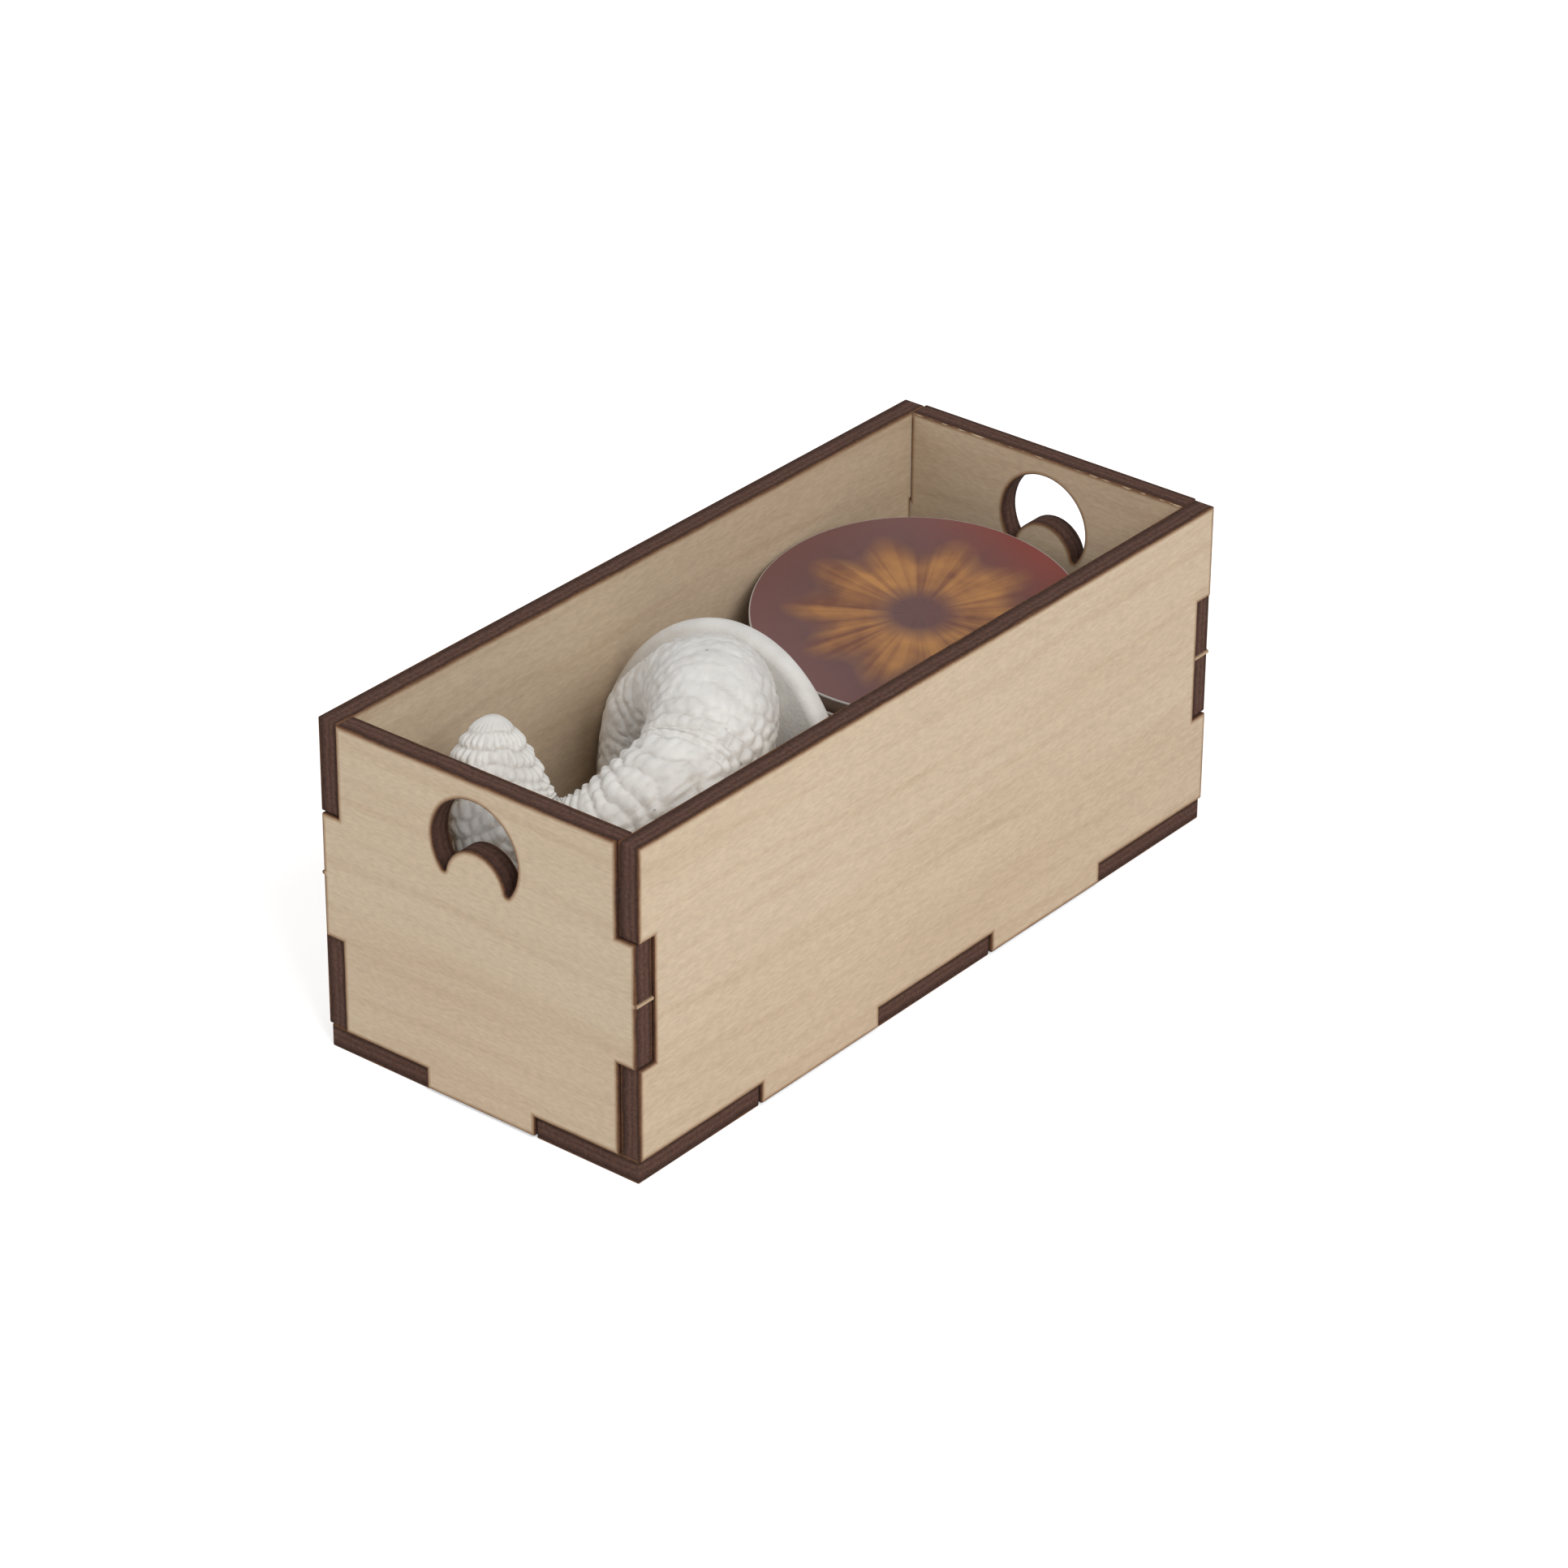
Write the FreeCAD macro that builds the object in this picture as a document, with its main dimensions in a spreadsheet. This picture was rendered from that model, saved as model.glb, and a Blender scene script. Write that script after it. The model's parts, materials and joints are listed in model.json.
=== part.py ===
import FreeCAD, Part
import math
import os

import Sketcher
from FreeCAD import Matrix, Placement, Rotation, Vector

# An open plywood tray for game pieces: five laser-cut panels joined with fingers.
# A tentacle figure on a round base lies in its front half, a pile of round tokens in its rear half.
# Frame: +Z up, origin on the table under the middle, X across the tray, Y along it, front towards -Y.
# Sizes are in millimetres and angles in degrees.

SIZES = [
    ("ply", 3.0, "thickness of the plywood"),
    ("wall_height", 44.0, "table to the top edge of the walls"),
    ("finger_recess", 0.4, "how far a finger's end stays behind the face it comes through"),
    ("joint_gap", 0.05, "air on each side of a finger, left by the cut"),
    ("finger_height", 16.4, "height of the end panels' side fingers"),
    ("floor_tab", 22.0, "length of the bottom panel's middle tab on each long side"),
    ("side_tab", 22.0, "length of each foot tab of the side panels"),
    ("end_tab", 16.6, "width of the foot tab of the end panels"),
    ("crescent_outer_radius", 6.5, "outer arc of the finger hole"),
    ("crescent_inner_radius", 4.5, "inner arc of the finger hole"),
    ("crescent_drop", 9.0, "top edge of the wall to the centre of the outer arc"),
    ("crescent_shift", 4.6, "centre of the outer arc to the centre of the inner arc"),
    ("crescent_tip_radius", 0.4, "rounding of the finger hole's two tips"),
    ("token_diameter", 41.5, "round token"),
    ("token_thickness", 2.0, "round token"),
    ("token_side_gap", 0.25, "token to the long wall, each side"),
    ("token_gap", 0.06, "air between two tokens, and under the lowest"),
    ("token_tilt", 8.1, "tilt of the top token, reached evenly from the flat lowest one"),
    ("token_tilt_heading", 133.0, "heading of the tokens' raised edge, from +X towards +Y"),
    ("figure_reach", 40.5, "front wall to the middle of the figure's base"),
    ("base_to_pile", 17.25, "middle of the figure's base to the tokens' front edge"),
    ("rear_gap", 4.75, "tokens' rear edge to the rear wall"),
    ("base_side_gap", 0.1, "half the room that the figure's base has across the tray"),
    ("base_offset", -0.1, "sideways place of the base's middle"),
    ("base_thickness", 3.0, "the figure's round base"),
    ("base_rim_radius", 1.2, "rounding of the base's two edges"),
    ("base_floor_gap", 0.1, "base's lowest edge to the tray's floor"),
    ("base_lean", 13.3, "how far the base leans back from upright"),
    ("base_turn", -8.8, "turn of the base about the vertical"),
    ("tentacle_root_radius", 8.4, "tentacle where it leaves the base"),
    ("tentacle_end_radius", 6.7, "tentacle where its tip begins"),
    ("tentacle_tip_length", 11.0, "length of the tapered tip"),
    ("tentacle_tip_flat", 0.8, "radius of the small flat that ends the tip"),
    ("tentacle_roll_radius", 7.0, "tentacle's first turn, a short roll that lies against the base"),
    ("tentacle_front_room", 1.0, "room kept for the tentacle's front bend at the front wall"),
]

TOKEN_COUNT = 13
TENTACLE_SECTIONS = 26

# Control points of the tentacle's centre line, chosen by eye.
# Each is across, up and out from the middle of the base's front face.
# The tentacle's outward places stretch with the figure's reach, so that the front bend keeps clear of the wall.
TENTACLE_ROUTE = [
    (-0.4, 7.6, -4.2),
    (-0.4, 13.6, 5.2),
    (9.3, 16.7, 10.0),
    (12.4, 8.4, 15.9),
    (13.4, 8.2, 20.8),
    (9.8, -1.2, 26.8),
    (3.0, -2.7, 32.0),
    (-2.0, 2.8, 34.1),
    (-3.6, 12.7, 33.5),
]
# The first turn rises beside the place where the tentacle leaves the base, and then bends into the crown.
ROLL_ROUTE = [(-5.7, -5.0, 3.0), (-7.8, 6.6, 3.0), (-3.0, 11.9, 3.0)]

doc = FreeCAD.newDocument("game_piece_tray")
sheet = doc.addObject("Spreadsheet::Sheet", "Sizes")
for row, (alias, number, meaning) in enumerate(SIZES, start=1):
    sheet.set("A%d" % row, meaning)
    sheet.set("B%d" % row, str(number))
    sheet.setAlias("B%d" % row, alias)
doc.recompute()


class Size:
    """A size known both as a number and as the expression that gives it from the sheet."""

    def __init__(self, number, text):
        self.number = number
        self.text = text

    def __add__(self, other):
        return Size(self.number + other.number, "(%s + %s)" % (self.text, other.text))

    def __sub__(self, other):
        return Size(self.number - other.number, "(%s - %s)" % (self.text, other.text))

    def half(self):
        return Size(self.number / 2, "(%s / 2)" % self.text)

    def twice(self):
        return Size(self.number * 2, "(%s * 2)" % self.text)

    def minus(self):
        return Size(-self.number, "(-%s)" % self.text)


ZERO = Size(0.0, "0")
sizes = {}
for alias, number, meaning in SIZES:
    sizes[alias] = Size(float(sheet.get(alias)), "Sizes.%s" % alias)

# The inside of the tray is as large as what it holds.
ply = sizes["ply"]
gap = sizes["joint_gap"]
recess = sizes["finger_recess"]
wall_height = sizes["wall_height"]
token_diameter = sizes["token_diameter"]
inner_width = token_diameter + sizes["token_side_gap"].twice()
inner_length = sizes["figure_reach"] + sizes["base_to_pile"] + token_diameter + sizes["rear_gap"]
outer_width = inner_width + ply.twice()
outer_length = inner_length + ply.twice()

# Every panel is drawn flat, as it is cut, from its own lower left corner.
panel_width = outer_width - recess.twice()
panel_length = outer_length - recess.twice()
panel_top = wall_height - recess
notch_depth = ply - recess + gap
shelf = ply + gap - recess
finger_low = ply + (wall_height - ply - sizes["finger_height"]).half() - recess
finger_high = finger_low + sizes["finger_height"]


def place(piece, rotation, x, y, z):
    """Turn a piece and tie its corner to the sheet."""
    piece.Placement = Placement(Vector(x.number, y.number, z.number), rotation)
    piece.setExpression("Placement.Base.x", x.text)
    piece.setExpression("Placement.Base.y", y.text)
    piece.setExpression("Placement.Base.z", z.text)


def new_sketch(body, name):
    """Start a sketch on the body's own flat plane."""
    sketch = body.newObject("Sketcher::SketchObject", name)
    planes = [item for item in body.Origin.OriginFeatures if item.Role == "XY_Plane"]
    sketch.AttachmentSupport = [(planes[0], "")]
    sketch.MapMode = "FlatFace"
    return sketch


def tie(sketch, constraint, name, size):
    """Add a dimension to a sketch and bind it to the sheet."""
    index = sketch.addConstraint(constraint)
    sketch.renameConstraint(index, name)
    sketch.setExpression("Constraints.%s" % name, size.text)


def tie_point(sketch, line, point, name, x, y):
    """Hold one point of a sketch at x, y from the sketch's origin."""
    if x is ZERO:
        sketch.addConstraint(Sketcher.Constraint("PointOnObject", line, point, -2))
    else:
        across = Sketcher.Constraint("DistanceX", -1, 1, line, point, x.number)
        tie(sketch, across, name + "_x", x)
    if y is ZERO:
        sketch.addConstraint(Sketcher.Constraint("PointOnObject", line, point, -1))
    else:
        upward = Sketcher.Constraint("DistanceY", -1, 1, line, point, y.number)
        tie(sketch, upward, name + "_y", y)


def cut_panel(label, corners):
    """One flat panel: a closed outline of straight cuts, as thick as the plywood."""
    body = doc.addObject("PartDesign::Body", label)
    body.Label = label
    sketch = new_sketch(body, label + "_outline")
    points = [Vector(x.number, y.number, 0) for x, y in corners]
    count = len(points)
    for i in range(count):
        sketch.addGeometry(Part.LineSegment(points[i], points[(i + 1) % count]), False)
    for i in range(count):
        sketch.addConstraint(Sketcher.Constraint("Coincident", i, 2, (i + 1) % count, 1))
    for i, (x, y) in enumerate(corners):
        tie_point(sketch, i, 1, "corner%d" % i, x, y)
    pad = body.newObject("PartDesign::Pad", label + "_pad")
    pad.Profile = sketch
    pad.setExpression("Length", ply.text)
    doc.recompute()
    return body


def side_outline():
    """A long wall: two foot tabs, and a notch at each end for the end panel's finger."""
    middle = panel_length.half()
    tab_near = sizes["floor_tab"].half() + gap
    tab_far = sizes["floor_tab"].half() + sizes["side_tab"] - gap
    notch_low = finger_low - gap
    notch_high = finger_high + gap
    bottom = [(ZERO, shelf)]
    for start, end in ((middle - tab_far, middle - tab_near), (middle + tab_near, middle + tab_far)):
        bottom += [(start, shelf), (start, ZERO), (end, ZERO), (end, shelf)]
    bottom.append((panel_length, shelf))
    inside = panel_length - notch_depth
    right = [(panel_length, notch_low), (inside, notch_low), (inside, notch_high), (panel_length, notch_high)]
    top = [(panel_length, panel_top), (ZERO, panel_top)]
    left = [(ZERO, notch_high), (notch_depth, notch_high), (notch_depth, notch_low), (ZERO, notch_low)]
    return bottom + right + top + left


def end_outline():
    """A short wall: a finger on each side and a foot tab in the middle."""
    middle = panel_width.half()
    tab = sizes["end_tab"].half() - gap
    far = panel_width - notch_depth
    bottom = [(notch_depth, shelf), (middle - tab, shelf), (middle - tab, ZERO)]
    bottom += [(middle + tab, ZERO), (middle + tab, shelf), (far, shelf)]
    right = [(far, finger_low), (panel_width, finger_low), (panel_width, finger_high), (far, finger_high)]
    top = [(far, panel_top), (notch_depth, panel_top)]
    left = [(notch_depth, finger_high), (ZERO, finger_high), (ZERO, finger_low), (notch_depth, finger_low)]
    return bottom + right + top + left


def floor_outline():
    """The bottom panel: notches for the foot tabs of the four walls."""
    middle_x = panel_width.half()
    middle_y = panel_length.half()
    half_end = sizes["end_tab"].half()
    near = sizes["floor_tab"].half()
    far = near + sizes["side_tab"]
    inside_x = panel_width - notch_depth
    inside_y = panel_length - notch_depth
    spans = [(middle_y - far, middle_y - near), (middle_y + near, middle_y + far)]
    front = [(ZERO, ZERO), (middle_x - half_end, ZERO), (middle_x - half_end, notch_depth)]
    front += [(middle_x + half_end, notch_depth), (middle_x + half_end, ZERO), (panel_width, ZERO)]
    right = []
    left = []
    for low, high in spans:
        right += [(panel_width, low), (inside_x, low), (inside_x, high), (panel_width, high)]
    for low, high in reversed(spans):
        left += [(ZERO, high), (notch_depth, high), (notch_depth, low), (ZERO, low)]
    rear = [(panel_width, panel_length), (middle_x + half_end, panel_length), (middle_x + half_end, inside_y)]
    rear += [(middle_x - half_end, inside_y), (middle_x - half_end, panel_length), (ZERO, panel_length)]
    return front + right + rear + left


def cut_crescent(body):
    """The finger hole: an arch between two arcs whose tips point down, right through the panel."""
    outer = sizes["crescent_outer_radius"]
    inner = sizes["crescent_inner_radius"]
    middle = panel_width.half()
    outer_level = panel_top - sizes["crescent_drop"]
    inner_level = outer_level - sizes["crescent_shift"]
    shift = sizes["crescent_shift"].number
    tip_drop = (outer.number ** 2 - inner.number ** 2 + shift ** 2) / (2 * shift)
    tip_reach = math.sqrt(outer.number ** 2 - tip_drop ** 2)
    sketch = new_sketch(body, body.Name + "_crescent")
    for radius, level, drop in ((outer, outer_level, tip_drop), (inner, inner_level, tip_drop - shift)):
        centre = Vector(middle.number, level.number, 0)
        circle = Part.Circle(centre, Vector(0, 0, 1), radius.number)
        start = math.atan2(-drop, tip_reach)
        sketch.addGeometry(Part.ArcOfCircle(circle, start, math.pi - start), False)
    sketch.addConstraint(Sketcher.Constraint("Coincident", 0, 1, 1, 1))
    sketch.addConstraint(Sketcher.Constraint("Coincident", 0, 2, 1, 2))
    for arc, name, radius, level in ((0, "outer", outer, outer_level), (1, "inner", inner, inner_level)):
        tie(sketch, Sketcher.Constraint("Radius", arc, radius.number), name + "_radius", radius)
        tie_point(sketch, arc, 3, name + "_centre", middle, level)
    before = body.Shape.Volume
    pocket = body.newObject("PartDesign::Pocket", body.Name + "_hole")
    pocket.Profile = sketch
    pocket.Type = "ThroughAll"
    pocket.Reversed = True
    doc.recompute()
    if body.Shape.Volume >= before:
        raise RuntimeError("the finger hole in %s cuts nothing" % body.Label)
    tips = []
    for number, edge in enumerate(pocket.Shape.Edges, start=1):
        level = outer_level.number - tip_drop
        ends = [vertex.Point for vertex in edge.Vertexes]
        at_tip = [abs(abs(p.x - middle.number) - tip_reach) + abs(p.y - level) < 0.1 for p in ends]
        if len(ends) == 2 and all(at_tip) and abs(ends[0].z - ends[1].z) > ply.number / 2:
            tips.append("Edge%d" % number)
    rounding = body.newObject("PartDesign::Fillet", body.Name + "_tips")
    rounding.Base = (pocket, tips)
    rounding.setExpression("Radius", sizes["crescent_tip_radius"].text)
    doc.recompute()


def make_tray():
    """The five panels, each turned from the flat sheet to its place."""
    upright_side = Rotation(Vector(1, 1, 1), 120)
    upright_end = Rotation(Vector(1, 0, 0), 90)
    left_x = panel_width.half().minus()
    front_y = panel_length.half().minus()
    bottom = cut_panel("bottom_panel", floor_outline())
    place(bottom, Rotation(), left_x, front_y, ZERO)
    for label, x in (("left_side_panel", outer_width.half().minus()), ("right_side_panel", inner_width.half())):
        place(cut_panel(label, side_outline()), upright_side, x, front_y, recess)
    pieces = [bottom, doc.left_side_panel, doc.right_side_panel]
    for label, y in (("front_end_panel", inner_length.half().minus()), ("rear_end_panel", outer_length.half())):
        panel = cut_panel(label, end_outline())
        cut_crescent(panel)
        place(panel, upright_end, left_x, y, recess)
        pieces.append(panel)
    return pieces


def figure_placement():
    """Where the figure lies: its base leans back and stands on the tray's floor on its lower edge."""
    lean = math.radians(sizes["base_lean"].number)
    turn = math.radians(sizes["base_turn"].number)
    across = Vector(math.cos(turn), math.sin(turn), 0)
    out = Vector(math.sin(turn) * math.cos(lean), -math.cos(turn) * math.cos(lean), math.sin(lean))
    up = out.cross(across)
    half_thickness = sizes["base_thickness"].number / 2
    level = ply.number + sizes["base_floor_gap"].number
    level += base_radius.number * math.cos(lean) + half_thickness * math.sin(lean)
    along = sizes["figure_reach"].number - inner_length.number / 2
    back = Vector(sizes["base_offset"].number, along, level) - out * half_thickness
    return Placement(Matrix(
        across.x, up.x, out.x, back.x,
        across.y, up.y, out.y, back.y,
        across.z, up.z, out.z, back.z,
        0, 0, 0, 1))


def make_base():
    """The figure's base: a round plate with rounded edges."""
    body = doc.addObject("PartDesign::Body", "figure_base")
    body.Label = "figure_base"
    sketch = new_sketch(body, "figure_base_outline")
    sketch.addGeometry(Part.Circle(Vector(0, 0, 0), Vector(0, 0, 1), base_radius.number), False)
    sketch.addConstraint(Sketcher.Constraint("Coincident", 0, 3, -1, 1))
    tie(sketch, Sketcher.Constraint("Radius", 0, base_radius.number), "base_radius", base_radius)
    pad = body.newObject("PartDesign::Pad", "figure_base_pad")
    pad.Profile = sketch
    pad.setExpression("Length", sizes["base_thickness"].text)
    doc.recompute()
    rims = []
    for number, edge in enumerate(pad.Shape.Edges, start=1):
        if len(edge.Vertexes) == 1:
            rims.append("Edge%d" % number)
    rounding = body.newObject("PartDesign::Fillet", "figure_base_rims")
    rounding.Base = (pad, rims)
    rounding.setExpression("Radius", sizes["base_rim_radius"].text)
    doc.recompute()
    body.Placement = figure_placement()
    return body


def tentacle_radius(along, length):
    """Radius of the tentacle at a distance along its centre line: a slow taper, then a round tip."""
    root = sizes["tentacle_root_radius"].number
    end = sizes["tentacle_end_radius"].number
    tip = sizes["tentacle_tip_length"].number
    flat = sizes["tentacle_tip_flat"].number
    tip_start = length - tip
    if along <= tip_start:
        return root + (end - root) * along / tip_start
    share = (along - tip_start) / tip
    return flat + (end - flat) * math.sqrt(max(0.0, 1 - share ** 2))


def make_tentacle():
    """The tentacle: round sections along its curled centre line, cut flat where it stands on the base."""
    seat = sizes["base_thickness"].number
    lean = math.radians(sizes["base_lean"].number)
    turn = math.radians(sizes["base_turn"].number)
    room = sizes["figure_reach"] - sizes["tentacle_end_radius"] - sizes["tentacle_front_room"]
    farthest = max(out for across, up, out in TENTACLE_ROUTE)
    stretch = room.number / (math.cos(lean) * math.cos(turn)) / farthest
    poles = [Vector(across, up, out * stretch + seat) for across, up, out in TENTACLE_ROUTE]
    degree = 3
    inner_knots = len(poles) - degree - 1
    knots = list(range(inner_knots + 2))
    repeats = [degree + 1] + [1] * inner_knots + [degree + 1]
    line = Part.BSplineCurve()
    line.buildFromPolesMultsKnots(poles, repeats, knots, False, degree)
    length = line.length()
    side = Vector(0, 0, 1)
    rings = []
    for i in range(TENTACLE_SECTIONS):
        share = i / (TENTACLE_SECTIONS - 1)
        along = length * math.sin(share * math.pi / 2) ** 0.9
        spot = line.parameterAtDistance(along)
        heading = line.tangent(spot)[0]
        side = side - heading * side.dot(heading)
        side.normalize()
        circle = Part.Circle(line.value(spot), heading, tentacle_radius(along, length))
        circle.XAxis = side
        rings.append(Part.Wire(circle.toShape()))
    tube = Part.makeLoft(rings, True, False)
    bends = [Vector(across, up, out + seat) for across, up, out in ROLL_ROUTE]
    roll_radius = sizes["tentacle_roll_radius"].number
    roll = Part.makeSphere(roll_radius, bends[0])
    for low, high in zip(bends, bends[1:]):
        roll = roll.fuse(Part.makeCylinder(roll_radius, (high - low).Length, low, high - low))
        roll = roll.fuse(Part.makeSphere(roll_radius, high))
    reach = base_radius.number * 2
    behind = Part.makeBox(2 * reach, 2 * reach, reach, Vector(-reach, -reach, seat - reach))
    tentacle = doc.addObject("Part::Feature", "figure_tentacle")
    tentacle.Label = "figure_tentacle"
    tentacle.Shape = tube.fuse(roll).cut(behind).removeSplitter()
    tentacle.Placement = figure_placement()
    return tentacle


def make_tokens():
    """The pile: the lowest token lies flat, and each one above tilts a little more."""
    heading = math.radians(sizes["token_tilt_heading"].number)
    axis = Vector(math.sin(heading), -math.cos(heading), 0)
    radius = token_diameter.number / 2
    thickness = sizes["token_thickness"].number
    middle_y = inner_length.number / 2 - sizes["rear_gap"].number - radius
    low_edge = ply.number + sizes["token_gap"].number
    tokens = []
    for i in range(TOKEN_COUNT):
        tilt = sizes["token_tilt"].number * i / (TOKEN_COUNT - 1)
        token = doc.addObject("Part::Cylinder", "token_%02d" % (i + 1))
        token.Label = "token_%02d" % (i + 1)
        token.setExpression("Radius", token_diameter.half().text)
        token.setExpression("Height", sizes["token_thickness"].text)
        level = low_edge + radius * math.sin(math.radians(tilt))
        token.Placement = Placement(Vector(0, middle_y, level), Rotation(axis, tilt))
        low_edge += thickness / math.cos(math.radians(tilt)) + sizes["token_gap"].number
        tokens.append(token)
    return tokens


base_radius = inner_width.half() - sizes["base_side_gap"]
pieces = make_tray()
pieces.append(make_base())
pieces.append(make_tentacle())
pieces += make_tokens()
doc.recompute()

for item in doc.Objects:
    if "Invalid" in item.State or "Error" in item.State:
        raise RuntimeError("%s failed: %s" % (item.Label, item.State))
for piece in pieces:
    if piece.Shape.isNull() or not piece.Shape.isValid() or len(piece.Shape.Solids) != 1:
        raise RuntimeError("%s is not one valid solid" % piece.Label)

os.makedirs("parts", exist_ok=True)
for piece in pieces:
    piece.Shape.exportStep("parts/%s.step" % piece.Label)
    box = piece.Shape.BoundBox
    print("%-18s %9.1f mm3  x %6.2f..%6.2f  y %6.2f..%6.2f  z %6.2f..%6.2f" % (
        piece.Label, piece.Shape.Volume, box.XMin, box.XMax, box.YMin, box.YMax, box.ZMin, box.ZMax))
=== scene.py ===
# %% [markdown]
# A plywood tray with a curled figure and a pile of tokens.
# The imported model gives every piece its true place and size. This lesson dresses it: burnt laser-cut
# edges on the plywood, a ribbed skin on the figure and a printed face on the tokens.

# %% Load the frame
import json
import math

import bmesh
import bpy
from mathutils import Matrix, Vector, noise


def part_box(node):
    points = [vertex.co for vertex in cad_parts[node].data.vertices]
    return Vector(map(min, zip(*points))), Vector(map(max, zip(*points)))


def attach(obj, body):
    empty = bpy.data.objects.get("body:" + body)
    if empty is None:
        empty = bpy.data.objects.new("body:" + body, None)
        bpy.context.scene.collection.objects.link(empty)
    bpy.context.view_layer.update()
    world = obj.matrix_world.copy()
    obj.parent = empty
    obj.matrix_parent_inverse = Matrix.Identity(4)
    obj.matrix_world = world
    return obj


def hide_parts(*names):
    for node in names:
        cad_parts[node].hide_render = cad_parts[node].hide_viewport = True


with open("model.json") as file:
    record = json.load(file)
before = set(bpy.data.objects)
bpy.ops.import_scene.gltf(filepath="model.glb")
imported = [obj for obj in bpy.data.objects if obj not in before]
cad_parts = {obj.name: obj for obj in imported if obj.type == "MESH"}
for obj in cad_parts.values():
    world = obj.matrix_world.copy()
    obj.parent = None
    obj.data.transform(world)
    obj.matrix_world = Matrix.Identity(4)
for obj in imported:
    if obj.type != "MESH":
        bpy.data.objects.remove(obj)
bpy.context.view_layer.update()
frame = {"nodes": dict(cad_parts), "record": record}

MM = 0.001
scene = bpy.context.scene
scene.view_settings.view_transform = "Standard"

# %% [markdown]
# The camera stands where the photographer stood: in front, to the right and above, with a long lens.
# A camera looks along its own -Z, so its three axes are worked out from the two viewing angles and a
# small roll, and its place is given as steps along those axes.

# %% Camera
VIEW_AZIMUTH = math.radians(38.86)
VIEW_ELEVATION = math.radians(29.29)
VIEW_ROLL = math.radians(0.31)
VIEW_DISTANCE = 702.8 * MM
VIEW_RIGHT = 0.46 * MM
VIEW_UP = 17.5 * MM
FOCAL_PIXELS = 7089.0
PHOTO_PIXELS = 1932.0
SENSOR_MM = 36.0

level_right = Vector((math.cos(VIEW_AZIMUTH), math.sin(VIEW_AZIMUTH), 0))
toward_camera = Vector((
    math.sin(VIEW_AZIMUTH) * math.cos(VIEW_ELEVATION),
    -math.cos(VIEW_AZIMUTH) * math.cos(VIEW_ELEVATION),
    math.sin(VIEW_ELEVATION)))
level_up = toward_camera.cross(level_right)
view_right = level_right * math.cos(VIEW_ROLL) + level_up * math.sin(VIEW_ROLL)
view_up = level_up * math.cos(VIEW_ROLL) - level_right * math.sin(VIEW_ROLL)

camera = bpy.data.objects.new("camera", bpy.data.cameras.new("camera"))
scene.collection.objects.link(camera)
scene.camera = camera
camera.data.sensor_width = SENSOR_MM
camera.data.lens = FOCAL_PIXELS / PHOTO_PIXELS * SENSOR_MM
camera.data.clip_start = 0.01
place = view_right * VIEW_RIGHT + view_up * VIEW_UP + toward_camera * VIEW_DISTANCE
turn = Matrix((view_right, view_up, toward_camera)).transposed().to_4x4()
camera.matrix_world = Matrix.Translation(place) @ turn
print("lens", round(camera.data.lens, 1), "mm")

# %% [markdown]
# Product photographs are lit with large soft lamps. One big lamp hangs above and in front on the right,
# a weaker one fills from the left, and a pale world lights the rest. The floor is a plain white sheet
# that keeps the object's shadow, and camera rays that miss it see white.

# %% Light and floor
KEY_SPOT = (0.75, -0.32, 0.75)
KEY_SIZE = 0.50
KEY_POWER = 6.0
FILL_SPOT = (-0.45, -0.45, 0.40)
FILL_SIZE = 0.60
FILL_POWER = 0.8
LAMP_TARGET = Vector((0, 0, 0.02))
WORLD_STRENGTH = 0.54
FLOOR_REACH = 1.6
FLOOR_GLOW = 0.45


def soft_lamp(name, spot, size, power):
    """A square lamp at a spot in metres, aimed at the middle of the tray."""
    lamp = bpy.data.lights.new(name, "AREA")
    lamp.size = size
    lamp.energy = power
    holder = bpy.data.objects.new(name, lamp)
    scene.collection.objects.link(holder)
    aim = LAMP_TARGET - Vector(spot)
    holder.location = spot
    holder.rotation_euler = aim.to_track_quat("-Z", "Y").to_euler()


soft_lamp("key_lamp", KEY_SPOT, KEY_SIZE, KEY_POWER)
soft_lamp("fill_lamp", FILL_SPOT, FILL_SIZE, FILL_POWER)

world = bpy.data.worlds.new("studio")
world.use_nodes = True
scene.world = world
world_nodes = world.node_tree.nodes
world_links = world.node_tree.links
world_light = world_nodes["Background"]
world_light.inputs["Color"].default_value = (0.97, 0.98, 1.0, 1)
world_light.inputs["Strength"].default_value = WORLD_STRENGTH
world_white = world_nodes.new("ShaderNodeBackground")
world_white.inputs["Color"].default_value = (1, 1, 1, 1)
world_path = world_nodes.new("ShaderNodeLightPath")
world_mix = world_nodes.new("ShaderNodeMixShader")
world_links.new(world_path.outputs["Is Camera Ray"], world_mix.inputs["Fac"])
world_links.new(world_light.outputs[0], world_mix.inputs[1])
world_links.new(world_white.outputs[0], world_mix.inputs[2])
world_links.new(world_mix.outputs[0], world_nodes["World Output"].inputs["Surface"])

floor_shape = bmesh.new()
bmesh.ops.create_grid(floor_shape, x_segments=2, y_segments=2, size=FLOOR_REACH)
floor_mesh = bpy.data.meshes.new("floor")
floor_shape.to_mesh(floor_mesh)
floor_shape.free()
floor = bpy.data.objects.new("floor", floor_mesh)
scene.collection.objects.link(floor)
floor_paint = bpy.data.materials.new("floor_white")
floor_paint.use_nodes = True
floor_shader = floor_paint.node_tree.nodes["Principled BSDF"]
floor_shader.inputs["Base Color"].default_value = (0.93, 0.93, 0.93, 1)
floor_shader.inputs["Roughness"].default_value = 0.9
floor_shader.inputs["Emission Color"].default_value = (1, 1, 1, 1)
floor_path = floor_paint.node_tree.nodes.new("ShaderNodeLightPath")
floor_glow = floor_paint.node_tree.nodes.new("ShaderNodeMath")
floor_glow.operation = "MULTIPLY"
floor_glow.inputs[1].default_value = FLOOR_GLOW
floor_paint.node_tree.links.new(floor_path.outputs["Is Camera Ray"], floor_glow.inputs[0])
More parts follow.
